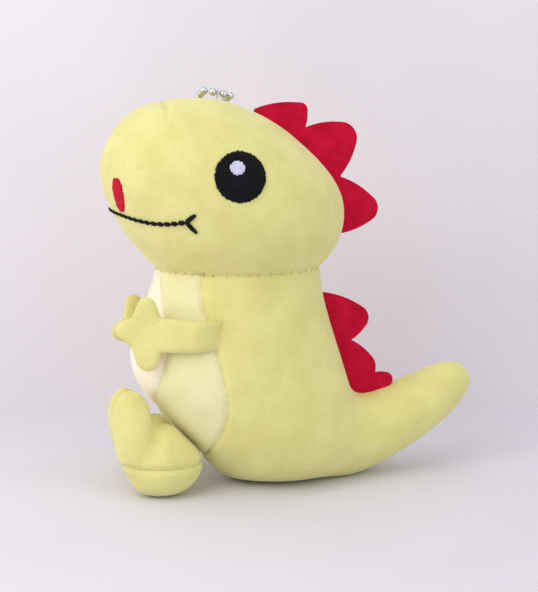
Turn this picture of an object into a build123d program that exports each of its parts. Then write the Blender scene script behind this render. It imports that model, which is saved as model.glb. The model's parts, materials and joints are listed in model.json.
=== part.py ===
from build123d import *
import os
from math import cos, degrees, radians, sin

# Plush dinosaur keychain, in millimetres.
# Frame: +Z up, the animal faces -Y, its left side is +X.
# Origin: on the table plane, in the mid-plane of the body.

# ---------------------------------------------------------------- driving dimensions
SKIN = 1.2              # short-pile plush with its knitted backing
FELT = 1.0              # stiff felt of the two crests
PETAL_BOW = 0.06        # how far a petal's edge bows out, as a share of its length
THREAD = 0.6            # height of the embroidery above the plush
NECK_Z = 66.0           # plane of the hand-sewn neck seam

# Cross-sections: height, centre along Y, half length along Y, half width along X.
HEAD_SECTIONS = [
    (NECK_Z, 0.9, 24.8, 20.5), (70, 0.9, 28.6, 24.5), (78, -0.5, 33.5, 29.5), (86, -2.6, 35.6, 31),
    (94, -5.7, 34.7, 30.5), (101, -8.5, 31.0, 27.8), (107, -10.5, 26.0, 23.5), (112, -12.3, 19.7, 18.3),
    (115.3, -13.0, 12.2, 12.0), (116.9, -13.2, 4.5, 5.0),
]
BODY_SECTIONS = [
    (0, 14.0, 15.0, 7.0), (1.6, 14.0, 19.0, 13.0), (5, 14.0, 22.6, 18.8), (11, 12.8, 26.6, 23.4),
    (18, 9.5, 29.5, 26), (26, 5.0, 31.5, 27), (34, 1.3, 32.7, 27), (42, -0.3, 31.8, 26),
    (50, -0.5, 29.5, 24.5), (58, 0.2, 26.8, 22.5), (NECK_Z, 0.9, 24.8, 20.5),
]
# The left foot, about its own centre line: a rounded heel, and toes that stand up in front of it.
HEEL_SECTIONS = [
    (0, -24.6, 3.2, 2.6), (1.8, -24.3, 7.8, 6.4), (5, -23.8, 10.4, 9.0), (10, -23.5, 11.7, 10.2),
    (15.5, -25.0, 9.8, 9.4), (19.5, -25.6, 6.6, 7.0), (21.6, -25.8, 2.2, 2.6),
]
TOE_SECTIONS = [
    (7, -28.6, 6.2, 7.0), (14, -30.6, 7.4, 8.4), (21, -31.7, 7.0, 8.0), (26, -32.5, 5.9, 6.6),
    (30, -33.0, 3.9, 4.4), (32.3, -33.2, 1.2, 1.4),
]
FOOT_X = 14.0           # centre line of each foot
FOOT_SEAM_Z = 10.0      # seam between the sole and the upper
FOOT_HINGE = (FOOT_X, -13.0)
RIGHT_FOOT_HEIGHT = 0.82            # the right foot is stuffed flatter than the left, by this share

# Tail stations: Y, Z, radius and the slope of the tail there, in degrees.
TAIL_STATIONS = [
    (24, 13.5, 12.8, 0), (42, 13.6, 11.9, 10), (54.6, 19.2, 10.2, 25), (64.4, 24.9, 8.7, 26),
    (70.6, 28.9, 6.5, 28), (75.0, 31.2, 2.8, 28),
]

EYE_Y, EYE_Z, EYE_R = -2.7, 95.1, 7.6
GLINT_Y, GLINT_Z, GLINT_R = -3.5, 97.4, 2.3
NOSTRIL_X, NOSTRIL_Z = 11.6, 90.2
NOSTRIL_HALF_WIDTH, NOSTRIL_HALF_HEIGHT = 2.4, 5.0
STITCH = 1.1            # width of the chain-stitched mouth line

ARM_ROOT = (27.3, -9.6, 49.4)       # where the arm is caught in the side seam
ARM_TURN = 24.0                     # degrees the arm turns in towards the belly
RIGHT_ARM_DROOP = 13.0              # degrees the right arm hangs below the left one
ARM_PLY = 1.3                       # thickness of each of the arm's two plies
ARM_HALF_ROOT, ARM_HALF_WRIST = 4.2, 5.3
PALM_U, PALM_R = 20.8, 5.8
# Lobes of the paw: distance along the arm, height above its middle line, radius.
LOBES = [(20.6, 8.0, 2.9), (27.2, 1.0, 2.9), (20.6, -7.2, 3.5)]

BEAD_R, BEAD_WALL, BEAD_HOLE_R = 1.2, 0.2, 0.3
BEAD_PITCH = 3.3
PIN_R, PIN_HEAD_R = 0.17, 0.36
HOLE_RADIUS_FROM_CENTRE = BEAD_R - BEAD_WALL / 2
PIN_HEAD_FROM_CENTRE = 0.5
CHAIN_TOP = (0, -4.8, 118.1)        # the pin that the hang loop goes round
CHAIN_TILT = -11.0                  # the head slopes down towards the back there
DRAPE_R = 37.5                      # the chain follows the far flank of the head
STRAND_ROWS = 5                     # rows of two beads in the straight part of the ring
CORD_R = 0.32

BIG = 200.0


# ---------------------------------------------------------------- small helpers
def ellipse_at(z, centre_y, half_length, half_width, centre_x=0.0):
    """A horizontal ellipse, longest along Y."""
    return Pos(centre_x, centre_y, z) * Ellipse(half_width, half_length)


def pillow(sections, inset, centre_x):
    """Loft horizontal ellipses into a closed form, all of it drawn in by inset."""
    (low_z, *low_ring), *middle, (high_z, *high_ring) = sections
    rings = [ellipse_at(low_z + inset, *low_ring, centre_x)]
    rings += [ellipse_at(z, y, length - inset, width - inset, centre_x) for z, y, length, width in middle]
    rings.append(ellipse_at(high_z - inset, *high_ring, centre_x))
    return loft(rings)


def yz(points, x=0.0):
    """Points of the YZ plane as 3-D points."""
    return [(x, y, z) for y, z in points]


def prism_x(outline, x_from, x_to):
    """Extrude a YZ outline along X between two planes."""
    return extrude(Pos(x_from, 0, 0) * outline, x_to - x_from, dir=(1, 0, 0))


def half(side):
    """Everything on one side of the mid-plane: side +1 is the left."""
    return Pos(side * BIG / 2, 0, 0) * Box(BIG, 2 * BIG, 2 * BIG)


def mirrored(shape):
    return mirror(shape, Plane.YZ)


# ---------------------------------------------------------------- the stuffed forms
def head_solid(inset=0.0):
    """The head, cut off flat at the neck. Its top comes down by inset, but its neck stays in place."""
    *lower, (z, y, length, width) = HEAD_SECTIONS
    rings = [ellipse_at(ring_z, ring_y, ring_length - inset, ring_width - inset)
             for ring_z, ring_y, ring_length, ring_width in lower]
    return loft(rings + [ellipse_at(z - inset, y, length, width)])


def tail_solid(inset=0.0):
    rings = []
    for index, (y, z, radius, slope) in enumerate(TAIL_STATIONS):
        is_tip = index == len(TAIL_STATIONS) - 1
        along = -inset if is_tip else 0.0
        way = Vector(0, cos(radians(slope)), sin(radians(slope)))
        plane = Plane(origin=Vector(0, y, z) + way * along, x_dir=(1, 0, 0), z_dir=way)
        rings.append(plane * Circle(radius if is_tip else radius - inset))
    return loft(rings)


def body_solid(inset=0.0):
    """The body and tail in one, cut off flat at the neck, standing on a flattened base."""
    (low_z, *low_ring), *upper = BODY_SECTIONS
    rings = [ellipse_at(low_z + inset, *low_ring)]
    rings += [ellipse_at(z, y, length - inset, width - inset) for z, y, length, width in upper]
    trunk = loft(rings)
    table = Pos(0, 0, inset - BIG / 2) * Box(BIG, 2 * BIG, BIG)
    return trunk + (tail_solid(inset) - table)


def foot_solid(inset=0.0):
    return pillow(HEEL_SECTIONS, inset, FOOT_X) + pillow(TOE_SECTIONS, inset, FOOT_X)


# ---------------------------------------------------------------- crests
def petal_outline(valleys, tips, bulge, inner):
    """A scalloped strip: rounded spikes between valleys, and a seam edge inside the plush."""
    edges = []
    for index, (tip_in, tip_mid, tip_out) in enumerate(tips):
        start, end = valleys[index], valleys[index + 1]
        edges.append(bowed(start, tip_in, bulge))
        edges.append(ThreePointArc(*yz([tip_in, tip_mid, tip_out])))
        edges.append(bowed(tip_out, end, bulge))
    edges.append(Polyline(*yz([valleys[-1]] + inner + [valleys[0]])))
    return make_face(Wire([edge for part in edges for edge in part.edges()]))


def bowed(start, end, bulge):
    """An arc from start to end that bows outwards, to the left of the way it runs, by a share of its length."""
    along = (end[0] - start[0], end[1] - start[1])
    middle = ((start[0] + end[0]) / 2 - along[1] * bulge, (start[1] + end[1]) / 2 + along[0] * bulge)
    return ThreePointArc(*yz([start, middle, end]))


def head_crest():
    valleys = [(6.0, 113.4), (21.6, 107.8), (32.4, 93.0), (33.4, 75.7)]
    tips = [((19.6, 115.3), (21.6, 114.7), (22.3, 112.4)),
            ((32.4, 109.5), (36.2, 107.9), (37.6, 104.0)),
            ((42.4, 86.9), (44.3, 83.8), (43.2, 80.2))]
    inner = [(28.6, 76.6), (27.4, 89.6), (17.6, 102.6), (5.4, 108.6)]
    return prism_x(petal_outline(valleys, tips, PETAL_BOW, inner), -FELT / 2, FELT / 2)


def back_crest():
    valleys = [(27.0, 57.6), (36.4, 42.2), (44.1, 31.6), (46.4, 25.6)]
    tips = [((40.2, 52.4), (41.9, 49.2), (40.8, 46.2)),
            ((42.9, 37.0), (44.1, 35.0), (44.3, 33.0)),
            ((48.0, 31.5), (49.8, 30.0), (49.0, 27.4))]
    inner = [(44.0, 21.6), (33.0, 23.6), (27.6, 38.0), (22.6, 54.6)]
    return prism_x(petal_outline(valleys, tips, PETAL_BOW, inner), -FELT / 2, FELT / 2)


# ---------------------------------------------------------------- sewn skins
def head_skins(crest, loop_room):
    shell = head_solid() - head_solid(SKIN) - crest - loop_room
    return shell & half(1), shell & half(-1)


def front_region():
    """Everything in front of the side seam, as a prism across the body."""
    above, below, front = NECK_Z + 2, -2, -60
    seam = Spline(*yz([(-12.5, above), (-9.6, 45), (-6.2, 26), (-11, 10), (-13, below)]))
    frame = Polyline(*yz([(-13, below), (front, below), (front, above), (-12.5, above)]))
    return prism_x(make_face(Wire(seam.edges() + frame.edges())), -BIG / 2, BIG / 2)


def belly_region():
    """The leaf-shaped front of the belly, as a prism towards -Y."""
    half_outline = [(2.6, NECK_Z + 1), (9.6, 58.5), (16.4, 49), (17.6, 40), (12.8, 30.5), (0, 24)]
    left = Spline(*[(x, 0, z) for x, z in half_outline])
    right = Spline(*[(-x, 0, z) for x, z in reversed(half_outline)])
    lid = Line(right @ 1, left @ 0)
    face = make_face(Wire(left.edges() + right.edges() + lid.edges()))
    return extrude(face, BIG / 2, dir=(0, -1, 0))


def body_skins(crest):
    shell = body_solid() - body_solid(SKIN) - crest
    front, belly = front_region(), belly_region()
    sides = shell - front
    fronts = (shell & front) - belly
    return {
        "body_side_left": sides & half(1),
        "body_side_right": sides & half(-1),
        "body_front_left": fronts & half(1),
        "body_front_right": fronts & half(-1),
        "belly_panel": shell & front & belly,
    }


def foot_pieces():
    shell = foot_solid() - foot_solid(SKIN)
    above = Pos(0, 0, FOOT_SEAM_Z + BIG / 2) * Box(BIG, 2 * BIG, BIG)
    return shell & above, shell - above, foot_solid(SKIN)


# ---------------------------------------------------------------- arms
def arm_face():
    """A strap that ends in a three-lobed paw, drawn with U forwards and V up."""
    arm = make_face(Polyline((0, -ARM_HALF_ROOT), (PALM_U, -ARM_HALF_WRIST), (PALM_U, ARM_HALF_WRIST),
                             (0, ARM_HALF_ROOT), close=True))
    palm = Pos(PALM_U, 0) * Circle(PALM_R)
    for u, v, radius in LOBES:
        lobe = Pos(u, v) * Circle(radius)
        arm += make_hull(palm.edges() + lobe.edges())
    return arm


def left_arm(droop=0.0):
    """The outer and inner ply of the left arm, sewn face to face, hanging down from level by droop."""
    forward = (-sin(radians(ARM_TURN)), -cos(radians(ARM_TURN)), 0)
    inward = (-cos(radians(ARM_TURN)), sin(radians(ARM_TURN)), 0)
    plane = Plane(origin=ARM_ROOT, x_dir=forward, z_dir=inward)
    outline = plane * Rot(0, 0, -droop) * arm_face()
    outward = -plane.z_dir
    return extrude(outline, ARM_PLY, dir=outward), extrude(outline, ARM_PLY, dir=-outward)


# ---------------------------------------------------------------- embroidery
def on_head(cutter):
    """A raised patch of thread where cutter meets the surface of the head."""
    return (head_solid(-THREAD) - head_solid()) & cutter


def disc_cutter(y, z, radius):
    return Pos(BIG / 2, y, z) * Rot(0, 90, 0) * Cylinder(radius, BIG)


def eyes():
    glint = disc_cutter(GLINT_Y, GLINT_Z, GLINT_R)
    disc = disc_cutter(EYE_Y, EYE_Z, EYE_R)
    return on_head(disc - glint), on_head(glint)


def nostril():
    face = Plane.XZ * Pos(NOSTRIL_X, NOSTRIL_Z) * Ellipse(NOSTRIL_HALF_WIDTH, NOSTRIL_HALF_HEIGHT)
    return on_head(extrude(face, BIG / 2, dir=(0, -1, 0)))


def mouth():
    """One line of stitches round the snout, with a small cross stitch at each corner."""
    corner = (-17.4, 82.5)
    line = Spline(*yz([(-46, 87.0), (-37, 84.0), (-27, 81.6), corner]))
    ticks = [Line(*yz([corner, (-15.2, 84.9)])), Line(*yz([corner, (-15.2, 79.4)]))]
    cutter = prism_x(trace(line, STITCH), -BIG / 2, BIG / 2)
    for tick in ticks:
        cutter += prism_x(trace(tick, STITCH), -BIG / 2, BIG / 2)
    return on_head(cutter)


def trace(line, width):
    """A ribbon of the given width along a line in the YZ plane."""
    edge = line.edges()[0]
    start = edge.position_at(0)
    tangent = edge.tangent_at(0)
    across = Vector(0, -tangent.Z, tangent.Y)
    stroke = Line(start - across * width / 2, start + across * width / 2)
    return sweep(stroke, path=line)


def neck_thread():
    """The hand-sewn thread that closes the neck: a thin band let into the seam."""
    z, y, length, width = HEAD_SECTIONS[0]
    depth, height = 0.6, 0.8
    band = Pos(0, y, z) * extrude(Ellipse(width, length), height / 2, both=True)
    core = Pos(0, y, z) * extrude(Ellipse(width - depth, length - depth), height / 2, both=True)
    return band - core


# ---------------------------------------------------------------- ball chain
def chain_frame():
    return Location(CHAIN_TOP, (CHAIN_TILT, 0, 0))


def chain_rows():
    """Centres of the beads, row by row, in the chain's own frame: (distance down the flank, half gap)."""
    near = BEAD_PITCH / 2
    step = BEAD_PITCH * sin(radians(45))
    rows = [(0.0, near), (step, near + step)]
    rows += [(step + BEAD_PITCH * (k + 1), near + step) for k in range(STRAND_ROWS)]
    rows.append((rows[-1][0] + step, near))
    return rows


def drape(distance, y):
    """A point of the chain's own frame: distance is measured along the flank of the head."""
    angle = distance / DRAPE_R
    return Vector(-DRAPE_R * sin(angle), y, DRAPE_R * (cos(angle) - 1))


def bead(centre, ways):
    """A hollow ball with a hole towards each of the given directions."""
    ball = Sphere(BEAD_R) - Sphere(BEAD_R - BEAD_WALL)
    drill = Pos(0, 0, BEAD_R / 2) * Cylinder(BEAD_HOLE_R, BEAD_R * 1.4)
    for way in ways:
        ball -= Plane(origin=(0, 0, 0), z_dir=way) * drill
    return Location(centre) * ball


def pin(start, end):
    """A dumb-bell wire between two beads."""
    way = (end - start).normalized()
    first, last = start + way * PIN_HEAD_FROM_CENTRE, end - way * PIN_HEAD_FROM_CENTRE
    wire = Plane(origin=first, z_dir=way) * extrude(Circle(PIN_R), (last - first).length)
    return wire + Pos(*first) * Sphere(PIN_HEAD_R) + Pos(*last) * Sphere(PIN_HEAD_R)


def chain_pieces():
    """Beads and pins of each row, and the connector that closes the ring."""
    rows = chain_rows()
    pieces = {}
    place = chain_frame()
    last = len(rows) - 1
    for index, (distance, gap) in enumerate(rows):
        beads, pins = [], []
        for side in (-1, 1):
            here = drape(distance, side * gap)
            ways = []
            if index == 0:
                ways.append(Vector(0, -side, 0))
            else:
                ways.append((drape(rows[index - 1][0], side * rows[index - 1][1]) - here).normalized())
            if index < last:
                after = drape(rows[index + 1][0], side * rows[index + 1][1])
                ways.append((after - here).normalized())
                pins.append(place * pin(here, after))
            beads.append(place * bead(here, ways))
        pieces[f"beads_{index + 1}"] = beads
        if pins:
            pieces[f"pins_{index + 1}"] = pins
    loop_pin = place * pin(drape(0, -rows[0][1]), drape(0, rows[0][1]))
    pieces["loop_pin"] = [loop_pin]
    pieces["connector"] = [place * connector(rows[-1])]
    return pieces


def connector(row):
    """A folded clip round the last two beads, open towards the chain."""
    distance, gap = row
    radius, cavity, slot, throat = 1.75, BEAD_R + 0.12, 1.0, 0.7
    length = 2 * (gap + cavity) + 0.1
    slope = distance / DRAPE_R
    body = Rot(90, 0, 0) * Cylinder(radius, length)
    body = fillet(body.edges(), 0.5)
    for side in (-1, 1):
        body -= Pos(0, side * gap, 0) * Sphere(cavity)
    body -= Rot(90, 0, 0) * Cylinder(throat, length * 2)
    body -= Pos(radius, 0, 0) * Box(2 * radius, 2 * length, slot)
    return Location(drape(distance, 0)) * Rot(0, -degrees(slope), 0) * body


def hang_loop():
    """A cord loop sewn into the top seam of the head, standing round the middle pin."""
    half_gap, sink = 0.85, 5.0
    path = Line((-half_gap, 0, -sink), (-half_gap, 0, 0)) + \
        ThreePointArc((-half_gap, 0, 0), (0, 0, half_gap), (half_gap, 0, 0)) + \
        Line((half_gap, 0, 0), (half_gap, 0, -sink))
    section = Plane(origin=(-half_gap, 0, -sink), z_dir=(0, 0, 1)) * Circle(CORD_R)
    return chain_frame() * sweep(section, path=path)


def loop_room():
    """Room for the legs of the hang loop in the seam and the stuffing."""
    width, depth, height, middle = 2.6, 0.9, 5.6, -3.4
    return chain_frame() * Pos(0, 0, middle) * Box(width, depth, height)


# ---------------------------------------------------------------- the whole object
def build():
    parts = {}
    head_strip, back_strip, room = head_crest(), back_crest(), loop_room()
    thread = neck_thread()
    parts["head_crest"] = [head_strip]
    parts["back_crest"] = [back_strip]
    parts["neck_thread"] = [thread]
    left, right = head_skins(head_strip, room)
    parts["head_skin_left"] = [left - thread]
    parts["head_skin_right"] = [right - thread]
    parts["head_stuffing"] = [head_solid(SKIN) - head_strip - room]
    for name, panel in body_skins(back_strip).items():
        parts[name] = [panel - thread]
    parts["body_stuffing"] = [body_solid(SKIN) - back_strip]

    eye, glint = eyes()
    for name, shape in (("eye", eye), ("eye_glint", glint), ("nostril", nostril())):
        parts[name + "_left"] = [shape]
        parts[name + "_right"] = [mirrored(shape)]
    for name, shape in zip(("foot_upper", "foot_sole", "foot_stuffing"), foot_pieces()):
        parts[name + "_left"] = [shape]
        parts[name + "_right"] = [mirrored(scale(shape, by=(1, 1, RIGHT_FOOT_HEIGHT)))]
    for name, left, drooped in zip(("arm_outer", "arm_inner"), left_arm(), left_arm(RIGHT_ARM_DROOP)):
        parts[name + "_left"] = [left]
        parts[name + "_right"] = [mirrored(drooped)]
    parts["mouth_stitching"] = [mouth()]
    parts["hang_loop"] = [hang_loop()]
    parts.update(chain_pieces())
    return parts


def write(parts):
    os.makedirs("parts", exist_ok=True)
    for name, shapes in parts.items():
        solids = [solid for shape in shapes for solid in shape.solids()]
        shape = solids[0] if len(solids) == 1 else Compound(solids)
        export_step(shape, f"parts/{name}.step")


if __name__ == "__main__":
    write(build())
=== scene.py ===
import json
import math

import bpy
import numpy as np
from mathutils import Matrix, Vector, noise
from mathutils.bvhtree import BVHTree


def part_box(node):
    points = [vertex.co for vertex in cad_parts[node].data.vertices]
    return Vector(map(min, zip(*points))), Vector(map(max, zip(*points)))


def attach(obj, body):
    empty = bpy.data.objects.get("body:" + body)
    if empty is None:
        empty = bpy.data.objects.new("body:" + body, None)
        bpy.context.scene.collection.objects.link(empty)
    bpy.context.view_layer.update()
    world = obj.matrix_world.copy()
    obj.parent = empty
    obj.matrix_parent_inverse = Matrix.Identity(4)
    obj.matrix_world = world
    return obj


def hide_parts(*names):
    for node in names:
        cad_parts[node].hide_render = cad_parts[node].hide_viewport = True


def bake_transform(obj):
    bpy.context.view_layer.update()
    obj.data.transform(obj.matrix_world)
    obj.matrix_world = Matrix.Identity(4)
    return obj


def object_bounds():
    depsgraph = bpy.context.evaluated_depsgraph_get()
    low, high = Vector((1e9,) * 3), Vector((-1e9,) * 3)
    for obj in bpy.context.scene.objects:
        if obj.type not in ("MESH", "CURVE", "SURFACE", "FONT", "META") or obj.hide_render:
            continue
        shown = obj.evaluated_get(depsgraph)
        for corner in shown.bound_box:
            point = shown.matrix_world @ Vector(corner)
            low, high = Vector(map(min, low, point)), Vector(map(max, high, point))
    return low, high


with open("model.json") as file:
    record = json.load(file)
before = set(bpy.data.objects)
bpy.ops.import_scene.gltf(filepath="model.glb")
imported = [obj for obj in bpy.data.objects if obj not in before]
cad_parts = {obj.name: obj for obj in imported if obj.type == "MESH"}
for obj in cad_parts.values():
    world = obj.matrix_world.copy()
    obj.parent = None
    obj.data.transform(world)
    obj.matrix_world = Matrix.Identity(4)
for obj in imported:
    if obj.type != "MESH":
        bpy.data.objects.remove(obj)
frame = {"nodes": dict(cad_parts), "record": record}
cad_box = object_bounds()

# Looks of a small plush dinosaur keychain. Lengths are in millimetres until a mesh is made.
# Each stuffed form is a remeshed copy of its CAD solids, puffed out between its seams by a
# cloth simulation and then cut along the seams into panels. The arms and the felt crests are
# cut from the outlines of their CAD solids. Thread is laid on the stuffed form's surface.

MM = 0.001

FORM_VOXEL = 2.0            # edge of the mesh that is simulated
PUFF_LIMIT = 0.9            # how far the pressure may move a point
PUFF_PRESSURE = 3.0
PUFF_FRAMES = 14
SKIN = 0.9                  # thickness of a plush panel
PILE_HEIGHT = 0.05          # relief of the brushed pile

ARM_PLY = 1.3               # each ply of an arm, at its fullest
ARM_TUCK = 0.6              # how far an arm's root runs on into the side seam
ARM_BEND = 4.4              # how far the root bends in to reach the body
TOE_SHARE = 0.42            # where the crease behind the toes lies, as a share of a foot's length
DART_SHARE = 0.53           # where the dart crosses the snout, as a share of the snout's reach
THREAD_PITCH = 0.42         # between rows of embroidery
EYE_SHARE = np.array([1.0, 0.95, 0.91])     # how much of the CAD disc the rows cover, by axis
NOSTRIL_LEAN = 1.0          # half the sideways distance between a nostril's ends
NOSTRIL_BOW = 0.5           # how far a nostril's middle stands out from the line of its ends
NOSTRIL_SHIFT = (1.9, -0.9) # outwards and upwards from the CAD piece
NOSTRIL_WIDTH_SHARE = 0.86  # of the CAD piece's width
STITCH_LENGTH = 2.3         # along the mouth
NECK_STITCHES = 46
NECK_SEED = 21
EYE_SEED = 11
NOSTRIL_SEED = 12

CAMERA_AZIMUTH, CAMERA_ELEVATION = 80.0, 9.0
CAMERA_DISTANCE = 400.0
PICTURE_WIDTH = 164.6       # what the picture spans at the toy
WALL_DISTANCE = 87.0        # from the camera's aim back to the wall
WALL_FACING = 0.9           # the least cosine between the wall's face and the camera that shows it
AIM_SHIFT = (0.0, -7.4, -3.3)               # from the middle of the CAD box to the camera's aim
LIGHT_AIM = (0.0, 15.0, 55.0)
KEY_POWER = 1.06
FILL_POWER = 0.82
FRONT_POWER = 0.58
TOP_POWER = 0.68
WORLD_STRENGTH = 0.54


# ---------------------------------------------------------------- meshes as arrays
def cad_arrays(*nodes):
    """Vertices in millimetres and triangles of some CAD nodes, as one mesh."""
    points, triangles, start = [], [], 0
    for name in nodes:
        mesh = frame["nodes"][name].data
        mesh.calc_loop_triangles()
        points.append(np.array([v.co for v in mesh.vertices]) / MM)
        triangles.append(np.array([t.vertices for t in mesh.loop_triangles]) + start)
        start += len(mesh.vertices)
    return np.vstack(points), np.vstack(triangles)


def new_object(name, points, faces):
    mesh = bpy.data.meshes.new(name)
    mesh.from_pydata((np.asarray(points) * MM).tolist(), [], [list(map(int, f)) for f in faces])
    mesh.validate()
    mesh.shade_smooth()
    obj = bpy.data.objects.new(name, mesh)
    bpy.context.scene.collection.objects.link(obj)
    return obj


def object_arrays(obj):
    """Evaluated vertices in millimetres and triangles of an object."""
    shown = obj.evaluated_get(bpy.context.evaluated_depsgraph_get())
    mesh = shown.to_mesh()
    mesh.calc_loop_triangles()
    points = np.empty(len(mesh.vertices) * 3)
    mesh.vertices.foreach_get("co", points)
    triangles = np.empty(len(mesh.loop_triangles) * 3, dtype=np.int32)
    mesh.loop_triangles.foreach_get("vertices", triangles)
    shown.to_mesh_clear()
    return points.reshape(-1, 3) / MM, triangles.reshape(-1, 3)


def apply_modifiers(obj):
    bpy.context.view_layer.objects.active = obj
    for modifier in list(obj.modifiers):
        bpy.ops.object.modifier_apply(modifier=modifier.name)


def remove(obj):
    mesh = obj.data
    bpy.data.objects.remove(obj)
    bpy.data.meshes.remove(mesh)


def normals_of(points, triangles):
    """Area-weighted vertex normals."""
    a, b, c = (points[triangles[:, k]] for k in range(3))
    face = np.cross(b - a, c - a)
    total = np.zeros_like(points)
    for k in range(3):
        np.add.at(total, triangles[:, k], face)
    return total / np.maximum(np.linalg.norm(total, axis=1, keepdims=True), 1e-12)


def bvh(points, triangles):
    return BVHTree.FromPolygons([Vector(p) for p in points], [tuple(map(int, t)) for t in triangles])


def distances(points, nodes):
    """Distance from each point to the nearest surface of some CAD nodes."""
    tree = bvh(*cad_arrays(*nodes))
    return np.array([tree.find_nearest(Vector(p))[3] for p in points])


def noise_at(points, scale, seed=0.0):
    """Smooth noise between about -1 and 1, with features of the given size."""
    shift = Vector((seed * 17.3, seed * 5.1, seed * 9.7))
    return np.array([noise.noise(Vector(p) / scale + shift) for p in points])


# ---------------------------------------------------------------- soft forms
def remeshed(name, nodes, voxel):
    """A closed, even mesh round some CAD solids."""
    obj = new_object(name, *cad_arrays(*nodes))
    remesh = obj.modifiers.new("remesh", "REMESH")
    remesh.mode = "VOXEL"
    remesh.voxel_size = voxel * MM
    smooth = obj.modifiers.new("smooth", "CORRECTIVE_SMOOTH")
    smooth.iterations = 6
    smooth.use_only_smooth = True
    apply_modifiers(obj)
    return obj


def puff(obj, held):
    """Blow the form up a little between its seams. held is 1 where a point can't move, 0 where it is free."""
    start, _ = object_arrays(obj)
    group = obj.vertex_groups.new(name="seams")
    for index, weight in enumerate(held):
        group.add([index], float(weight), "REPLACE")
    cloth = obj.modifiers.new("cloth", "CLOTH")
    settings = cloth.settings
    settings.use_pressure = True
    settings.uniform_pressure_force = PUFF_PRESSURE
    settings.effector_weights.gravity = 0
    settings.vertex_group_mass = "seams"
    settings.tension_stiffness = 30
    settings.compression_stiffness = 10
    settings.bending_stiffness = 0.5
    scene = bpy.context.scene
    scene.frame_start, scene.frame_end = 1, PUFF_FRAMES
    cloth.point_cache.frame_end = PUFF_FRAMES
    for step in range(1, PUFF_FRAMES + 1):
        scene.frame_set(step)
    moved = object_arrays(obj)[0] - start
    obj.modifiers.remove(cloth)
    length = np.maximum(np.linalg.norm(moved, axis=1, keepdims=True), 1e-9)
    moved *= np.minimum(1.0, PUFF_LIMIT / length)
    obj.data.vertices.foreach_set("co", ((start + moved) * MM).ravel())
    scene.frame_set(1)


def refine(obj, levels):
    """Subdivide a form smoothly and return its arrays."""
    subdivide = obj.modifiers.new("subdivide", "SUBSURF")
    subdivide.levels = levels
    points, triangles = object_arrays(obj)
    remove(obj)
    return points, triangles


def seam_dip(distance, depth, width):
    """How far the surface sinks at a distance from a seam."""
    return depth * np.exp(-(distance / width) ** 2)


# ---------------------------------------------------------------- cutting panels out of a form
def clip(data, triangles, field):
    """Keep the part of a triangle mesh where field is positive, with a clean edge along field = 0.
    data holds one row per vertex; its columns are interpolated where an edge is cut."""
    side = field > 0
    count = side[triangles].sum(axis=1)
    kept = [tuple(t) for t in triangles[count == 3]]
    extra, made = [], {}

    def cut(a, b):
        key = (min(a, b), max(a, b))
        if key not in made:
            share = field[key[0]] / (field[key[0]] - field[key[1]])
            made[key] = len(data) + len(extra)
            extra.append(data[key[0]] * (1 - share) + data[key[1]] * share)
        return made[key]

    for tri in triangles[(count > 0) & (count < 3)]:
        a, b, c = (int(v) for v in tri)
        while not (side[a] and not side[c]):
            a, b, c = b, c, a
        if side[b]:
            bc, ca = cut(b, c), cut(c, a)
            kept += [(a, b, bc), (a, bc, ca)]
        else:
            kept.append((a, cut(a, b), cut(c, a)))
    everything = np.vstack([data] + extra) if extra else data
    kept = np.array(kept, dtype=np.int64)
    used, inverse = np.unique(kept, return_inverse=True)
    return everything[used], inverse.reshape(-1, 3)


def border_edges(triangles):
    """Directed edges that belong to one triangle only."""
    edges = np.vstack([triangles[:, [0, 1]], triangles[:, [1, 2]], triangles[:, [2, 0]]])
    key = np.sort(edges, axis=1)
    _, index, count = np.unique(key, axis=0, return_index=True, return_counts=True)
    return edges[index[count == 1]]


def shell(points, normals, triangles, thickness):
    """A closed panel: the outer face, an inner face below it, and a rim that joins them."""
    size = len(points)
    inner = points - normals * thickness
    faces = list(triangles) + list(triangles[:, ::-1] + size)
    for a, b in border_edges(triangles):
        faces.append((b, a, a + size, b + size))
    return np.vstack([points, inner]), faces


def cut_panel(name, form, fields, body, stands_for, material):
    """One plush panel of a form: where all the fields are positive."""
    points, triangles, normals = form["points"], form["triangles"], form["normals"]
    data = np.hstack([points, normals] + [f[:, None] for f in fields])
    for k in range(len(fields)):
        data, triangles = clip(data, triangles, data[:, 6 + k])
    unit = data[:, 3:6] / np.linalg.norm(data[:, 3:6], axis=1, keepdims=True)
    obj = new_object(name, *shell(data[:, :3], unit, triangles, SKIN))
    return dress(obj, material, body, stands_for)


def dress(obj, material, body, stands_for=()):
    obj.data.materials.clear()
    obj.data.materials.append(material)
    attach(obj, body)
    if stands_for:
        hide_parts(*stands_for)
    return obj


SLOT_OF = {entry["node"]: entry["material_slot"] for entry in frame["record"]["subparts"]}


def box_mm(node):
    low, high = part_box(node)
    return np.array(low) / MM, np.array(high) / MM


# ---------------------------------------------------------------- materials
def new_material(name):
    material = bpy.data.materials.new(name)
    material.use_nodes = True
    nodes, links = material.node_tree.nodes, material.node_tree.links
    shader = nodes["Principled BSDF"]
    place = nodes.new("ShaderNodeTexCoord")
    return material, nodes, links, shader, place.outputs["Object"]


def srgb(red, green, blue):
    """An sRGB colour of 0 to 255 as the linear colour a shader takes."""
    channels = [c / 255 for c in (red, green, blue)]
    linear = [c / 12.92 if c <= 0.04045 else ((c + 0.055) / 1.055) ** 2.4 for c in channels]
    return (*linear, 1.0)


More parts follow.
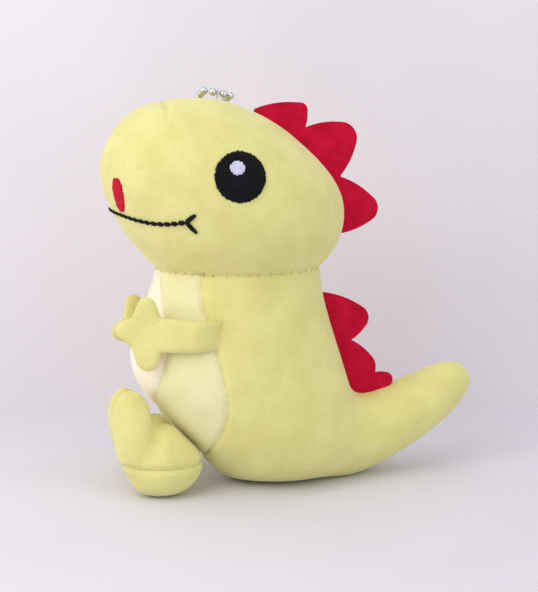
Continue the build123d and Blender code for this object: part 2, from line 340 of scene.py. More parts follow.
def noise_node(nodes, links, coordinates, size, detail=2.0, roughness=0.5, stretch=None):
    """Noise with features of the given size in millimetres."""
    texture = nodes.new("ShaderNodeTexNoise")
    texture.inputs["Scale"].default_value = 1.0 / (size * MM)
    texture.inputs["Detail"].default_value = detail
    texture.inputs["Roughness"].default_value = roughness
    if stretch:
        mapping = nodes.new("ShaderNodeMapping")
        mapping.inputs["Scale"].default_value = stretch
        links.new(coordinates, mapping.inputs["Vector"])
        coordinates = mapping.outputs["Vector"]
    links.new(coordinates, texture.inputs["Vector"])
    return texture.outputs["Fac"]


def mix_colours(nodes, links, factor, first, second, low=0.35, high=0.65):
    """A colour between first and second, where the noise factor runs from low to high."""
    ramp = nodes.new("ShaderNodeValToRGB")
    ramp.color_ramp.elements[0].position = low
    ramp.color_ramp.elements[0].color = first
    ramp.color_ramp.elements[1].position = high
    ramp.color_ramp.elements[1].color = second
    links.new(factor, ramp.inputs["Fac"])
    return ramp.outputs["Color"]


def multiply(nodes, links, first, second, share):
    mix = nodes.new("ShaderNodeMix")
    mix.data_type = "RGBA"
    mix.blend_type = "MULTIPLY"
    mix.inputs["Factor"].default_value = share
    links.new(first, mix.inputs["A"])
    links.new(second, mix.inputs["B"])
    return mix.outputs["Result"]


def add_bump(nodes, links, shader, heights):
    """Chain bumps: each height is (output, distance in millimetres, strength)."""
    normal = None
    for height, distance, strength in heights:
        bump = nodes.new("ShaderNodeBump")
        bump.inputs["Distance"].default_value = distance * MM
        bump.inputs["Strength"].default_value = strength
        links.new(height, bump.inputs["Height"])
        if normal:
            links.new(normal, bump.inputs["Normal"])
        normal = bump.outputs["Normal"]
    links.new(normal, shader.inputs["Normal"])


def plush(name, base, shade, wider):
    """Short brushed pile: a soft sheen at grazing angles, fine nap and faint brushed patches,
    which are wider by the given millimetres."""
    material, nodes, links, shader, where = new_material(name)
    patches = noise_node(nodes, links, where, 9.0 + wider, 3.0, 0.55)
    nap = noise_node(nodes, links, where, 0.55, 3.0, 0.7)
    grain = noise_node(nodes, links, where, 1.6, 2.0, 0.6, (1.0, 1.0, 0.55))
    colour = mix_colours(nodes, links, patches, shade, base)
    dark = (0.87, 0.86, 0.81, 1.0)
    light = (1.0, 1.0, 1.0, 1.0)
    colour = multiply(nodes, links, colour, mix_colours(nodes, links, nap, dark, light, 0.3, 0.6), 0.5)
    links.new(colour, shader.inputs["Base Color"])
    shader.inputs["Roughness"].default_value = 0.95
    shader.inputs["Specular IOR Level"].default_value = 0.15
    shader.inputs["Sheen Weight"].default_value = 0.34
    shader.inputs["Sheen Roughness"].default_value = 0.45
    shader.inputs["Sheen Tint"].default_value = (1.0, 0.98, 0.88, 1.0)
    shader.inputs["Subsurface Weight"].default_value = 0.12
    shader.inputs["Subsurface Radius"].default_value = (1.0, 0.9, 0.5)
    shader.inputs["Subsurface Scale"].default_value = 1.2 * MM
    add_bump(nodes, links, shader, [(grain, 0.22, 0.28), (nap, 0.15, 0.5)])
    return material


def felt(name, base, shade):
    """Needled felt: matted fibres in every direction, with a slight fuzz."""
    material, nodes, links, shader, where = new_material(name)
    fibres = noise_node(nodes, links, where, 0.9, 6.0, 0.75, (1.0, 0.45, 1.0))
    across = noise_node(nodes, links, where, 0.7, 5.0, 0.75, (1.0, 1.0, 0.4))
    patches = noise_node(nodes, links, where, 6.0, 2.0)
    colour = mix_colours(nodes, links, patches, shade, base, 0.3, 0.7)
    dark, light = (0.68, 0.62, 0.66, 1.0), (1.0, 1.0, 1.0, 1.0)
    fleck = mix_colours(nodes, links, fibres, dark, light, 0.3, 0.62)
    links.new(multiply(nodes, links, colour, fleck, 0.6), shader.inputs["Base Color"])
    shader.inputs["Roughness"].default_value = 0.95
    shader.inputs["Specular IOR Level"].default_value = 0.1
    shader.inputs["Sheen Weight"].default_value = 0.08
    shader.inputs["Sheen Roughness"].default_value = 0.5
    shader.inputs["Sheen Tint"].default_value = (1.0, 0.3, 0.4, 1.0)
    add_bump(nodes, links, shader, [(fibres, 0.3, 0.5), (across, 0.25, 0.5)])
    return material


def thread(name, base, shade, shine=0.45):
    """Twisted embroidery thread: a soft satin shine broken up by its twist."""
    material, nodes, links, shader, where = new_material(name)
    twist = noise_node(nodes, links, where, 0.22, 3.0, 0.6, (1.0, 1.0, 0.35))
    patches = noise_node(nodes, links, where, 1.5, 2.0)
    colour = mix_colours(nodes, links, patches, shade, base, 0.3, 0.7)
    links.new(colour, shader.inputs["Base Color"])
    shader.inputs["Roughness"].default_value = shine
    shader.inputs["Specular IOR Level"].default_value = 0.18
    add_bump(nodes, links, shader, [(twist, 0.08, 0.6)])
    return material


def steel(name):
    """Bright plating, with the fine scuffs of a cheap chain."""
    material, nodes, links, shader, where = new_material(name)
    scuffs = noise_node(nodes, links, where, 0.6, 5.0, 0.7)
    tint = mix_colours(nodes, links, scuffs, srgb(176, 178, 184), srgb(232, 233, 236), 0.3, 0.6)
    links.new(tint, shader.inputs["Base Color"])
    shader.inputs["Metallic"].default_value = 1.0
    rough = nodes.new("ShaderNodeMapRange")
    rough.inputs["To Min"].default_value = 0.12
    rough.inputs["To Max"].default_value = 0.34
    links.new(scuffs, rough.inputs["Value"])
    links.new(rough.outputs["Result"], shader.inputs["Roughness"])
    add_bump(nodes, links, shader, [(scuffs, 0.02, 0.3)])
    return material


def fibre(name):
    """Loose polyester filling."""
    material, nodes, links, shader, where = new_material(name)
    strands = noise_node(nodes, links, where, 1.2, 6.0, 0.8, (1.0, 0.3, 1.0))
    colour = mix_colours(nodes, links, strands, srgb(214, 214, 210), srgb(248, 248, 246))
    links.new(colour, shader.inputs["Base Color"])
    shader.inputs["Roughness"].default_value = 0.9
    shader.inputs["Sheen Weight"].default_value = 0.3
    add_bump(nodes, links, shader, [(strands, 0.5, 0.7)])
    return material


LIME = plush("plush_lime", srgb(229, 225, 150), srgb(221, 216, 139), 1.0)
PALE = plush("plush_pale", srgb(240, 235, 184), srgb(234, 228, 174), 2.0)
CREAM = plush("plush_cream", srgb(255, 246, 226), srgb(254, 240, 208), 3.0)
RED_FELT = felt("felt_red", srgb(214, 20, 62), srgb(190, 14, 48))
BLACK_THREAD = thread("thread_black", srgb(17, 17, 24), srgb(8, 8, 12), 0.65)
WHITE_THREAD = thread("thread_white", srgb(226, 226, 246), srgb(208, 208, 234), 0.6)
RED_THREAD = thread("thread_red", srgb(216, 26, 58), srgb(190, 16, 44), 0.6)
LIME_THREAD = thread("thread_lime", srgb(200, 194, 118), srgb(178, 172, 98), 0.7)
CORD = thread("cord_white", srgb(226, 226, 220), srgb(204, 204, 198), 0.6)
STEEL = steel("chain_steel")
FILLING = fibre("polyester_filling")


# ---------------------------------------------------------------- the three kinds of stuffed form
def form_of(obj, dips, levels):
    """Refine a form, sink it along its seams and give it the relief of its pile.
    dips takes the refined points and returns how far each sinks."""
    points, triangles = refine(obj, levels)
    normals = normals_of(points, triangles)
    relief = PILE_HEIGHT * (noise_at(points, 1.3) + 0.6 * noise_at(points, 5.0, 1.0))
    points = points + normals * (relief - dips(points))[:, None]
    return {"points": points, "triangles": triangles, "normals": normals}


def hold(*seams):
    """Pin weights near seams, each given as distances from it."""
    nearest = np.min(np.abs(np.vstack(seams)), axis=0)
    return np.clip(1.25 - nearest / 4.0, 0.0, 1.0)


def filling(name, nodes, body):
    """The stuffing under a skin: a lumpy closed form a little inside it."""
    obj = remeshed(name, nodes, 2.5)
    points, triangles = object_arrays(obj)
    lumps = 0.5 * noise_at(points, 7.0, 3.0) - 1.6
    points = points + normals_of(points, triangles) * lumps[:, None]
    remove(obj)
    obj = new_object(name, points, triangles)
    return dress(obj, FILLING, body, nodes)


def build_toy():
    """The head, body and tail as one form, cut along the neck seam and the seams between the panels."""
    sides = ["body_side_left", "body_side_right"]
    fronts = ["body_front_left", "body_front_right"]
    belly = ["belly_panel"]
    heads = ["head_skin_left", "head_skin_right", "head_stuffing"]
    obj = remeshed("toy_form", heads + sides + fronts + belly + ["body_stuffing"], FORM_VOXEL)
    neck = box_mm("head_skin_left")[0][2]
    snout_y, crown_z = box_mm("head_skin_left")[0][1], box_mm("head_skin_left")[1][2]

    def seam_fields(points):
        to_side, to_front, to_belly = (distances(points, group) for group in (sides, fronts, belly))
        return to_side - np.minimum(to_front, to_belly), np.minimum(to_side, to_front) - to_belly

    rest, _ = object_arrays(obj)
    puff(obj, hold(rest[:, 0], rest[:, 2] - neck, rest[:, 2]))
    fields = {}

    def dips(points):
        points[:, 2] = np.maximum(points[:, 2], 0.0)
        front, belly_edge = seam_fields(points)
        fields["front"], fields["belly"] = front, belly_edge
        height = points[:, 2] - neck
        below = height < 0
        pucker = 1.0 + 0.45 * noise_at(points, 1.7, 2.0)
        middle = seam_dip(points[:, 0], 0.25, 0.7) * (~below | (front < 0))
        side_seam = seam_dip(front, 0.75, 0.8) * below
        belly_seam = seam_dip(belly_edge, 0.5, 0.8) * below
        near_crown = np.clip((points[:, 2] - crown_z + 6.5) / 3.0, 0.0, 1.0)
        dart = seam_dip(points[:, 1] - DART_SHARE * snout_y, 0.9, 0.8) * near_crown
        return (middle + side_seam + belly_seam + dart + seam_dip(height, 1.1, 1.3)) * pucker

    form = form_of(obj, dips, 2)
    form["points"][:, 2] = np.maximum(form["points"][:, 2], 0.0)
    height, side = form["points"][:, 2] - neck, form["points"][:, 0]
    front, belly_edge = fields["front"], fields["belly"]
    for name, sign in (("left", 1.0), ("right", -1.0)):
        cut_panel(f"head_plush_{name}", form, [height, sign * side], "plush", [f"head_skin_{name}"], LIME)
        cut_panel(f"body_plush_{name}", form, [-height, -front, sign * side], "plush",
                  [f"body_side_{name}"], LIME)
        cut_panel(f"front_plush_{name}", form, [-height, front, -belly_edge, sign * side], "plush",
                  [f"body_front_{name}"], PALE)
    cut_panel("belly_plush", form, [-height, front, belly_edge], "plush", ["belly_panel"], CREAM)
    filling("head_filling", ["head_stuffing"], "plush")
    filling("body_filling", ["body_stuffing"], "plush")
    return form


def build_foot(side):
    """A foot as one form with a crease behind its toes, cut at the seam of its sole."""
    upper, sole = f"foot_upper_{side}", f"foot_sole_{side}"
    body = f"{side}_foot"
    obj = remeshed(f"foot_form_{side}", [upper, sole, f"foot_stuffing_{side}"], FORM_VOXEL * 0.6)
    seam = box_mm(sole)[1][2]
    rest, _ = object_arrays(obj)
    puff(obj, hold(rest[:, 2] - seam, rest[:, 2]))

    low, high = box_mm(upper)
    crease_y = low[1] + TOE_SHARE * (high - low)[1]

    def dips(points):
        above = points[:, 2] - seam
        well_above = np.clip((above - 2.0) / 7.0, 0.0, 1.0)
        crease = seam_dip(points[:, 1] - crease_y - 0.15 * above, 1.5, 2.2) * well_above
        return crease + seam_dip(above, 0.7, 0.9) * (1.0 + 0.4 * noise_at(points, 1.6, 2.0))

    form = form_of(obj, dips, 1)
    form["points"][:, 2] = np.maximum(form["points"][:, 2], 0.0)
    height = form["points"][:, 2] - seam
    cut_panel(f"foot_plush_{side}", form, [height], body, [upper], LIME)
    cut_panel(f"sole_plush_{side}", form, [-height], body, [sole], LIME)
    filling(f"foot_filling_{side}", [f"foot_stuffing_{side}"], body)


# ---------------------------------------------------------------- flat pieces cut from an outline
def outline_of(node, towards):
    """The edge of a flat CAD node's face that looks along towards, as 2-D points in order,
    with the plane's origin and its two directions."""
    points, triangles = cad_arrays(node)
    a, b, c = (points[triangles[:, k]] for k in range(3))
    face = np.cross(b - a, c - a)
    area = np.linalg.norm(face, axis=1)
    unit = face / np.maximum(area, 1e-12)[:, None]
    best = unit[np.argmax(area * (unit @ towards > 0.5))]
    chosen = triangles[unit @ best > 0.999]
    keys = np.round(points, 3)
    _, merged = np.unique(keys, axis=0, return_inverse=True)
    merged = merged.ravel()
    following = {}
    for start, end in border_edges(merged[chosen]):
        following[int(start)] = int(end)
    place = {int(m): points[i] for i, m in enumerate(merged)}
    first = next(iter(following))
    loop, here = [first], following[first]
    while here != first and here in following:
        loop.append(here)
        here = following[here]
    corners = np.array([place[i] for i in loop])
    up = np.array([0.0, 0.0, 1.0])
    along = np.cross(up, best)
    along /= np.linalg.norm(along)
    origin = corners.mean(axis=0)
    flat = np.stack([(corners - origin) @ along, (corners - origin) @ up], axis=1)
    return flat, origin, along, up, best


def signed_distance(points, outline):
    """Distance to a closed outline, positive inside it."""
    ends = np.roll(outline, -1, axis=0)
    best = np.full(len(points), np.inf)
    inside = np.zeros(len(points), dtype=bool)
    for a, b in zip(outline, ends):
        along = b - a
        span = max(float(along @ along), 1e-12)
        share = np.clip((points - a) @ along / span, 0.0, 1.0)
        gap = np.linalg.norm(points - a - share[:, None] * along, axis=1)
        best = np.minimum(best, gap)
        crosses = (a[1] > points[:, 1]) != (b[1] > points[:, 1])
        if abs(along[1]) > 1e-12:
            at = a[0] + (points[:, 1] - a[1]) * along[0] / along[1]
            inside ^= crosses & (points[:, 0] < at)
    return np.where(inside, best, -best)


def grid_mesh(low, high, step):
    """A flat triangle mesh over a rectangle."""
    columns = np.arange(low[0], high[0] + step, step)
    rows = np.arange(low[1], high[1] + step, step)
    points = np.array([(x, y) for y in rows for x in columns])
    width = len(columns)
    triangles = []
    for j in range(len(rows) - 1):
        for i in range(width - 1):
            a = j * width + i
            triangles += [(a, a + 1, a + width + 1), (a, a + width + 1, a + width)]
    return points, np.array(triangles)


def flat_piece(name, outline, place, top, bottom, step=0.5):
    """A closed piece inside an outline. place maps 2-D points and a height to 3-D points;
    top and bottom give the heights of its two faces from the points and their depth inside the edge."""
    points, triangles = grid_mesh(outline.min(axis=0) - step, outline.max(axis=0) + step, step)
    depth = signed_distance(points, outline)
    data, triangles = clip(np.hstack([points, depth[:, None]]), triangles, depth)
    points = data[:, :2]
    depth = np.maximum(data[:, 2], 0.0)
    upper = place(points, top(points, depth))
    lower = place(points, bottom(points, depth))
    size = len(points)
    faces = list(triangles) + list(triangles[:, ::-1] + size)
    for a, b in border_edges(triangles):
        faces.append((b, a, a + size, b + size))
    return new_object(name, np.vstack([upper, lower]), faces)


def build_crest(node, bend):
    """A strip of felt with cut edges that waves a little out of its plane."""
    outline, origin, along, up, normal = outline_of(node, np.array([1.0, 0.0, 0.0]))
    origin = origin.copy()
    thickness = (box_mm(node)[1] - box_mm(node)[0])[0]
    origin[0] = 0.0

    def place(points, height):
        flat = origin + points[:, :1] * along + points[:, 1:] * up
        wave = bend * noise_at(flat, 13.0, 5.0)
        fuzz = 0.05 * noise_at(flat, 0.6, 6.0)
        return flat + (wave + height + np.sign(height) * fuzz)[:, None] * normal

    def half_height(points, depth):
        return thickness / 2 * np.clip(0.72 + depth * 0.6, 0.0, 1.0)

    obj = flat_piece(f"{node}_felt", outline, place, half_height, lambda p, d: -half_height(p, d), 0.45)
    return dress(obj, RED_FELT, "plush", [node])


def joint_mm(name):
    joint = next(j for j in frame["record"]["behaviour"]["joints"] if j["name"] == name)
    return np.array(joint["pos_m"]) / MM


def build_arm(side):
    """Two plies of plush sewn face to face, slightly stuffed, their root tucked into the side seam."""
    sign = 1.0 if side == "left" else -1.0
    outline, origin, along, up, normal = outline_of(f"arm_outer_{side}", np.array([sign, 0.0, 0.0]))
    middle = origin - normal * ARM_PLY
    root = joint_mm(f"arm_{side}_swing")
    forward = middle - root
    forward /= np.linalg.norm(forward)
    forward_2d = np.array([forward @ along, forward @ up])
    start_2d = np.array([(root - middle) @ along, (root - middle) @ up])
    at_root = (outline - start_2d) @ forward_2d < 0.5
    outline = outline - np.outer(at_root, forward_2d) * ARM_TUCK

    def place(points, height):
        flat = middle + points[:, :1] * along + points[:, 1:] * up
        reach = (flat - root) @ forward
        bend = ARM_BEND * np.clip(1.0 - reach / 7.0, 0.0, 1.3) ** 2
        sag = 0.35 * noise_at(flat, 9.0, 8.0) * np.clip(reach / 6.0, 0.0, 1.0)
        relief = PILE_HEIGHT * noise_at(flat, 1.2, 7.0)
        return flat + (height + sag - bend + np.sign(height) * relief)[:, None] * normal

    def crown(points, depth):
        share = np.clip(depth / 2.6, 0.0, 1.0)
        return 0.1 + ARM_PLY * np.sqrt(1.0 - (1.0 - share) ** 2)

    def seam(points, depth):
        return np.zeros(len(points))

    outer = flat_piece(f"arm_plush_outer_{side}", outline, place, crown, seam)
    inner = flat_piece(f"arm_plush_inner_{side}", outline, place, seam, lambda p, d: -crown(p, d))
    for obj, node in ((outer, f"arm_outer_{side}"), (inner, f"arm_inner_{side}")):
        obj.data.materials.append(LIME)
        start, end = (root - 1.5 * forward) * MM, (root + 6.0 * forward) * MM
        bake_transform(obj)
        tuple(start)
        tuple(end)
        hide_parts(node)


# ---------------------------------------------------------------- thread work on a surface
class Cover:
    """A surface that thread lies on, found by looking along a direction."""

    def __init__(self, form, towards):
        self.tree = bvh(form["points"], form["triangles"])
        self.towards = Vector(towards)

    def hit(self, point):
        """The surface point and its outward normal, seen from far outside."""
        start = Vector(point) - self.towards * 150.0
        place, normal, _, _ = self.tree.ray_cast(start, self.towards)
        if place is None:
            place, normal, _, _ = self.tree.find_nearest(Vector(point))
        return np.array(place), np.array(normal)


def nearest_on(form):
    """A function that gives the nearest surface point of a form and its outward normal."""
    tree = bvh(form["points"], form["triangles"])

    def cover(point):
        place, normal, _, _ = tree.find_nearest(Vector(point))
        return np.array(place), np.array(normal)

    return cover


def tube(path, normals, half_width, half_height, sides=8):
    """A closed flattened tube along a path. The half sizes may differ from point to point."""
    path, normals = np.asarray(path), np.asarray(normals)
    count = len(path)
    tangents = np.gradient(path, axis=0)
    tangents /= np.maximum(np.linalg.norm(tangents, axis=1, keepdims=True), 1e-9)
    across = np.cross(tangents, normals)
    across /= np.maximum(np.linalg.norm(across, axis=1, keepdims=True), 1e-9)
    above = np.cross(across, tangents)
    half_width = np.broadcast_to(half_width, count)
    half_height = np.broadcast_to(half_height, count)
    turns = np.arange(sides) * 2 * math.pi / sides
    rings = [path + across * (math.cos(t) * half_width)[:, None]
             + above * (math.sin(t) * half_height)[:, None] for t in turns]
    points = np.stack(rings, axis=1).reshape(-1, 3)
    faces = []
    for k in range(count - 1):
        for s in range(sides):
            a, b = k * sides + s, k * sides + (s + 1) % sides
            faces.append((a, b, b + sides, a + sides))
    faces.append(tuple(range(sides))[::-1])
    faces.append(tuple(range((count - 1) * sides, count * sides)))
    return points, faces


def joined(name, parts):
    """One object from several closed meshes."""
    points, faces, start = [], [], 0
    for some_points, some_faces in parts:
        points.append(some_points)
        faces += [tuple(int(i) + start for i in face) for face in some_faces]
        start += len(some_points)
    return new_object(name, np.vstack(points), faces)


def stitch(start, end, cover, width, lift, curl=0.0):
    """One stitch: a short plump thread that dives into the cloth at both ends."""
    steps = 9
    share = np.linspace(0.0, 1.0, steps)
    line = np.outer(1 - share, start) + np.outer(share, end)
    hits = [cover(p) for p in line]
    normals = np.array([n for _, n in hits])
    arch = np.sin(share * math.pi) ** 0.5
    path = np.array([p for p, _ in hits]) + normals * (lift * (arch - 0.35))[:, None]
    across = np.cross(end - start, normals[steps // 2])
    across /= max(np.linalg.norm(across), 1e-9)
    path += np.outer(np.sin(share * 2 * math.pi) * curl, across)
    swell = width / 2 * np.clip(0.45 + 0.75 * np.sin(share * math.pi), 0.0, 1.0)
    return tube(path, normals, swell, swell * 0.8)


def oval_chord(half_sizes, turn, offset):
    """Where a line at an offset from the centre, turned by turn, enters and leaves an ellipse."""
    a, b = half_sizes
    cos, sin = math.cos(turn), math.sin(turn)
    square = (cos / a) ** 2 + (sin / b) ** 2
    linear = 2 * offset * (-sin * cos / a ** 2 + sin * cos / b ** 2)
    constant = (offset * sin / a) ** 2 + (offset * cos / b) ** 2 - 1
    root = linear ** 2 - 4 * square * constant
    if root <= 0:
        return None
    return (-linear - math.sqrt(root)) / (2 * square), (-linear + math.sqrt(root)) / (2 * square)


def bar_chord(half_sizes, turn, offset):
    """The same for an upright bar with rounded ends that leans and bows; turn isn't used."""
    a, b = half_sizes
    level = offset / b
    if abs(level) >= 1:
        return None
    middle = NOSTRIL_LEAN * level - NOSTRIL_BOW * level ** 2
    half = a * (1 - abs(level) ** 3) ** 0.5
    return middle - half, middle + half


def satin_rows(cover, centre, half_sizes, axes, turn, seed, lift=0.35, chord=oval_chord):
    """An area filled with rows of thread that lie side by side, each row a run of long stitches.
    chord gives where each row begins and ends."""
    rng = np.random.default_rng(seed)
    first, second = (np.array(axis, float) for axis in axes)
    along = math.cos(turn) * first + math.sin(turn) * second
    aside = -math.sin(turn) * first + math.cos(turn) * second
    reach = max(half_sizes)
    parts = []
    for row in range(int(2 * reach / THREAD_PITCH) + 1):
        offset = -reach + row * THREAD_PITCH
        extent = chord(half_sizes, turn, offset)
        if extent is None:
            continue
        low = extent[0] - rng.uniform(-0.05, 0.28)
        high = extent[1] + rng.uniform(-0.05, 0.28)
        share = np.linspace(low, high, max(4, int((high - low) / 0.45) + 1))
        hits = [cover.hit(centre + along * s + aside * offset) for s in share]
        path = np.array([p for p, _ in hits])
        normals = np.array([n for _, n in hits])
        dip = 0.10 * np.abs(np.sin((share / 3.6 + row * 0.31) * math.pi)) ** 0.4
        ends = np.clip(np.minimum(share - low, high - share) / 0.7, 0.0, 1.0) ** 0.5
        path += normals * ((lift + dip) * ends - 0.1)[:, None]
        parts.append(tube(path, normals, THREAD_PITCH * 0.56, 0.26, 6))
    return parts


def build_eye(side, form):
    """A disc of black satin stitch with a pale glint sewn over it."""
    sign = 1.0 if side == "left" else -1.0
    cover = Cover(form, (-sign, 0, 0))
    axes = ((0, 1, 0), (0, 0, 1))
    for part, node, material, turn, lift in (("disc", "eye", BLACK_THREAD, 1.1, 0.38),
                                             ("glint", "eye_glint", WHITE_THREAD, 1.35, 0.62)):
        low, high = box_mm(f"{node}_{side}")
        centre, half = (low + high) / 2, (high - low) / 2 * EYE_SHARE
        rows = satin_rows(cover, centre, (half[1], half[2]), axes, turn, EYE_SEED, lift)
        dress(joined(f"eye_{part}_thread_{side}", rows), material, "plush", [f"{node}_{side}"])


def build_nostril(side, form):
    """A bar of red satin stitch on the snout."""
    low, high = box_mm(f"nostril_{side}")
    sign = 1.0 if side == "left" else -1.0
    centre = (low + high) / 2 + np.array([sign * NOSTRIL_SHIFT[0], 0.0, NOSTRIL_SHIFT[1]])
    half = (high - low) / 2
    half_sizes = (half[0] * NOSTRIL_WIDTH_SHARE, half[2])
    cover = Cover(form, (0, 1, 0))
    axes = ((sign, 0, 0), (0, 0, 1))
    rows = satin_rows(cover, centre, half_sizes, axes, 0.0, NOSTRIL_SEED, chord=bar_chord)
    dress(joined(f"nostril_stitches_{side}", rows), RED_THREAD, "plush", [f"nostril_{side}"])


def mouth_path():
    """The middle of the mouth line from one corner to the other, and the ends of the corner strokes."""
    points, _ = cad_arrays("mouth_stitching")
    corner = points[:, 1].max()
    line = points[points[:, 1] < corner - 2.2]
    centre = np.array([0.0, corner + 8.0])
    angle = np.arctan2(line[:, 0], centre[1] - line[:, 1])
    edges = np.linspace(angle.min(), angle.max(), 25)
    path = []
    for low, high in zip(edges[:-1], edges[1:]):
        chosen = line[(angle >= low) & (angle <= high)]
        if len(chosen):
            path.append([*((chosen.min(axis=0) + chosen.max(axis=0)) / 2)])
    ticks = points[points[:, 1] > corner - 0.9]
    return np.array(path), ticks[:, 2].min(), ticks[:, 2].max(), corner


def evenly(points, spacing):
    """Points at an even spacing along a path."""
    points = np.asarray(points, float)
    lengths = np.concatenate([[0.0], np.cumsum(np.linalg.norm(np.diff(points, axis=0), axis=1))])
    count = max(2, int(round(lengths[-1] / spacing)) + 1)
    wanted = np.linspace(0.0, lengths[-1], count)
    return np.stack([np.interp(wanted, lengths, points[:, k]) for k in range(3)], axis=1)


def smooth_path(points, spacing):
    """The same, along a softened path."""
    points = np.asarray(points, float)
    for _ in range(3):
        points[1:-1] = (points[:-2] + 2 * points[1:-1] + points[2:]) / 4
    return evenly(points, spacing)


def build_mouth(form):
    """Slanting stitches along the mouth, plumper towards its corners, each of which has a bent bar."""
    cover = nearest_on(form)
    path, low, high, corner = mouth_path()
    knots = smooth_path(path, STITCH_LENGTH)
    last = len(knots) - 2
    parts = []
    for index, (start, end) in enumerate(zip(knots[:-1], knots[1:])):
        towards_corner = abs(2 * index / last - 1)
        slant = np.array([0.0, 0.0, 0.2])
        gap = (end - start) * (0.02 + 0.08 * towards_corner ** 2)
        width = 0.8 + 0.7 * towards_corner
        parts.append(stitch(start + gap + slant, end - gap - slant, cover, width, 0.5))
    for end in (knots[0], knots[-1]):
        middle = end + np.array([0.0, 0.3, 0.1])
        top = np.array([end[0], corner - 0.1, high - 0.4])
        bottom = np.array([end[0], corner - 0.1, low + 0.2])
        bar = smooth_path(evenly([top, middle, bottom], 0.5), 0.4)
        hits = [cover(p) for p in bar]
        normals = np.array([n for _, n in hits])
        share = np.linspace(0, 1, len(bar))
        swell = 0.68 * np.clip(0.6 + 2.2 * np.minimum(share, 1 - share), 0, 1)
        parts.append(tube(np.array([p for p, _ in hits]) + normals * 0.25, normals, swell, swell * 0.8))
    obj = joined("mouth_stitches", parts)
    return dress(obj, BLACK_THREAD, "plush", ["mouth_stitching"])


def build_neck_stitches(form):
    """Short ladder stitches that cross the neck seam."""
    cover = nearest_on(form)
    low, high = box_mm("neck_thread")
    centre, half = (low + high) / 2, (high - low) / 2
    rng = np.random.default_rng(NECK_SEED)
    parts = []
    for k in range(NECK_STITCHES):
        angle = 2 * math.pi * k / NECK_STITCHES + rng.uniform(-0.02, 0.02)
        ring = centre + np.array([half[0] * math.cos(angle), half[1] * math.sin(angle), 0.0])
        lean = np.array([-math.sin(angle), math.cos(angle), 0.0]) * rng.uniform(0.1, 0.4)
        reach = np.array([0.0, 0.0, rng.uniform(0.35, 0.6)])
        parts.append(stitch(ring - reach - lean, ring + reach + lean, cover, 0.24, 0.08))
    obj = joined("neck_stitches", parts)
    return dress(obj, LIME_THREAD, "plush", ["neck_thread"])


def build_hang_loop():
    """Two-ply twisted cord that stands out of the top seam of the head."""
    points, _ = cad_arrays("hang_loop")
    low, high = points.min(axis=0), points.max(axis=0)
    radius = 0.32
    half_gap = (high[0] - low[0]) / 2 - radius
    top = high[2] - half_gap - radius
    foot = points[points[:, 2] < low[2] + 0.5].mean(axis=0)
    lean = points[points[:, 2] > high[2] - 0.5].mean(axis=0) - foot
    lean /= np.linalg.norm(lean)
    length = (high[2] - low[2]) / lean[2] - half_gap - radius
    across = np.array([1.0, 0.0, 0.0])
    path = [foot - across * half_gap + lean * length * s for s in np.linspace(0, 1, 12)]
    path += [foot + lean * (length + half_gap * math.sin(a)) - across * half_gap * math.cos(a)
             for a in np.linspace(0.1, math.pi - 0.1, 14)]
    path += [foot + across * half_gap + lean * length * s for s in np.linspace(1, 0, 12)]
    path = smooth_path(path, 0.16)
    normals = np.tile(np.cross(across, lean), (len(path), 1))
    tangents = np.gradient(path, axis=0)
    tangents /= np.linalg.norm(tangents, axis=1, keepdims=True)
    side = np.cross(tangents, normals)
    parts = []
    for phase in (0.0, math.pi):
        turn = np.arange(len(path)) * 0.62 + phase
        ply = path + 0.14 * (np.cos(turn)[:, None] * side + np.sin(turn)[:, None] * normals)
        parts.append(tube(ply, normals, 0.17, 0.17))
    obj = joined("hang_cord", parts)
    return dress(obj, CORD, "plush", ["hang_loop"])


def finish_chain():
    """The ball chain keeps its CAD shape and gets its plating."""
    for name, obj in frame["nodes"].items():
        if SLOT_OF[name] == "chain_steel":
            obj.data.materials.clear()
            obj.data.materials.append(STEEL)
            obj.data.shade_smooth()


# ---------------------------------------------------------------- floor, light and camera
def stage_material(name, colour):
    material, nodes, links, shader, where = new_material(name)
    cloud = noise_node(nodes, links, where, 60.0, 2.0)
    darker = tuple(c * 0.97 for c in colour[:3]) + (1.0,)
    links.new(mix_colours(nodes, links, cloud, darker, colour), shader.inputs["Base Color"])
    shader.inputs["Roughness"].default_value = 0.55
    shader.inputs["Specular IOR Level"].default_value = 0.2
    return material


def slab(name, low, high):
    """A closed box."""
    corners = [low, high]
    points = [[corners[i][0], corners[j][1], corners[k][2]] for i in (0, 1) for j in (0, 1) for k in (0, 1)]
    faces = [(0, 1, 3, 2), (4, 6, 7, 5), (0, 4, 5, 1), (2, 3, 7, 6), (0, 2, 6, 4), (1, 5, 7, 3)]
    obj = new_object(name, points, faces)
    obj.data.shade_flat()
    return obj


def seen_squarely(material, normal, least):
    """Leave a flat surface out unless the camera faces it, so that no other view is blocked.
    In the shader's camera space Z runs away from the camera, so a faced surface's normal is near -1."""
    nodes, links = material.node_tree.nodes, material.node_tree.links
    shader, output = nodes["Principled BSDF"], nodes["Material Output"]
    turned = nodes.new("ShaderNodeVectorTransform")
    turned.vector_type = "VECTOR"
    turned.convert_from, turned.convert_to = "WORLD", "CAMERA"
    turned.inputs["Vector"].default_value = tuple(normal)
    parts = nodes.new("ShaderNodeSeparateXYZ")
    links.new(turned.outputs["Vector"], parts.inputs["Vector"])
    enough = nodes.new("ShaderNodeMath")
    enough.operation = "LESS_THAN"
    enough.inputs[1].default_value = -least
    links.new(parts.outputs["Z"], enough.inputs[0])
    clear = nodes.new("ShaderNodeBsdfTransparent")
    mix = nodes.new("ShaderNodeMixShader")
    links.new(enough.outputs["Value"], mix.inputs["Fac"])
    links.new(clear.outputs["BSDF"], mix.inputs[1])
    links.new(shader.outputs["BSDF"], mix.inputs[2])
    links.new(mix.outputs["Shader"], output.inputs["Surface"])


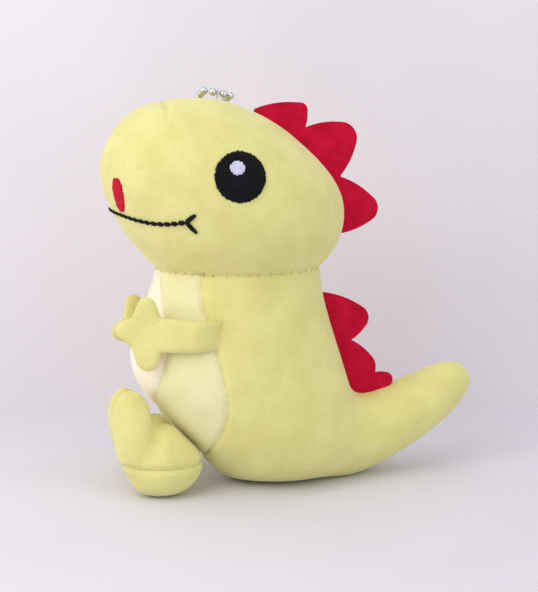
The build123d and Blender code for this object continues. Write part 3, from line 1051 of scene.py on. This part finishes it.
def build_stage():
    """A pale table top, with a pale wall close behind it that faces the camera."""
    size, thickness = 2400.0, 4.0
    floor = slab("floor", (-size, -size, -thickness), (size, size, 0.0))
    floor.data.materials.append(stage_material("floor", srgb(226, 224, 232)))
    aim, back = camera_aim(), camera_back(0.0)
    foot_of_wall = aim - back * WALL_DISTANCE
    across = np.array([-back[1], back[0], 0.0]) * size
    up = np.array([0.0, 0.0, size])
    base = np.array([foot_of_wall[0], foot_of_wall[1], 0.0])
    wall = new_object("wall", [base - across, base + across, base + across + up, base - across + up],
                      [(0, 1, 2, 3)])
    wall.data.shade_flat()
    wall.data.materials.append(stage_material("wall", srgb(230, 225, 231)))
    seen_squarely(wall.data.materials[0], back, WALL_FACING)


def area_light(name, shift, aim, size, power, colour):
    """A square lamp at a shift from its aim. The camera doesn't see it."""
    place = tuple(a + b for a, b in zip(aim, shift))
    light = bpy.data.lights.new(name, "AREA")
    light.size = size * MM
    light.energy = power
    light.color = colour
    obj = bpy.data.objects.new(name, light)
    obj.location = Vector(place) * MM
    obj.rotation_euler = (Vector(aim) - Vector(place)).to_track_quat("-Z", "Y").to_euler()
    obj.visible_camera = False
    bpy.context.scene.collection.objects.link(obj)


def build_lights():
    area_light("key", (310, -320, 375), LIGHT_AIM, 420, KEY_POWER, (1.0, 0.99, 0.97))
    area_light("fill", (420, 330, 205), LIGHT_AIM, 460, FILL_POWER, (0.97, 0.98, 1.0))
    area_light("top", (-20, 0, 585), LIGHT_AIM, 520, TOP_POWER, (1.0, 0.99, 1.0))
    area_light("front", (110, -420, 115), LIGHT_AIM, 360, FRONT_POWER, (1.0, 0.99, 0.98))
    world = bpy.data.worlds.new("studio")
    world.use_nodes = True
    background = world.node_tree.nodes["Background"]
    background.inputs["Color"].default_value = (0.96, 0.94, 0.97, 1.0)
    background.inputs["Strength"].default_value = WORLD_STRENGTH
    bpy.context.scene.world = world


def camera_aim():
    """The point the camera looks at, a little nearer the face and lower than the middle of the toy."""
    low, high = (np.array(corner) / MM for corner in cad_box)
    return (low + high) / 2 + np.array(AIM_SHIFT)


def camera_back(elevation):
    """Unit vector from the toy to the camera."""
    azimuth, elevation = math.radians(CAMERA_AZIMUTH), math.radians(elevation)
    return np.array([math.sin(azimuth) * math.cos(elevation), -math.cos(azimuth) * math.cos(elevation),
                     math.sin(elevation)])


def build_camera():
    """Level with the toy's flank, a little in front of square-on and slightly above."""
    back = camera_back(CAMERA_ELEVATION)
    data = bpy.data.cameras.new("camera")
    data.sensor_fit = "HORIZONTAL"
    data.sensor_width = 36.0
    data.lens = data.sensor_width * CAMERA_DISTANCE / PICTURE_WIDTH
    data.clip_start = 0.01
    camera = bpy.data.objects.new("camera", data)
    camera.location = Vector(camera_aim() + back * CAMERA_DISTANCE) * MM
    camera.rotation_euler = Vector(back).to_track_quat("Z", "Y").to_euler()
    bpy.context.scene.collection.objects.link(camera)
    bpy.context.scene.camera = camera
    bpy.context.scene.view_settings.view_transform = "Standard"


# ---------------------------------------------------------------- the whole scene
toy_form = build_toy()
for side_name in ("left", "right"):
    build_foot(side_name)
    build_arm(side_name)
    build_eye(side_name, toy_form)
    build_nostril(side_name, toy_form)
build_crest("head_crest", 0.8)
build_crest("back_crest", 0.6)
build_mouth(toy_form)
build_neck_stitches(toy_form)
build_hang_loop()
finish_chain()
build_stage()
build_lights()
build_camera()
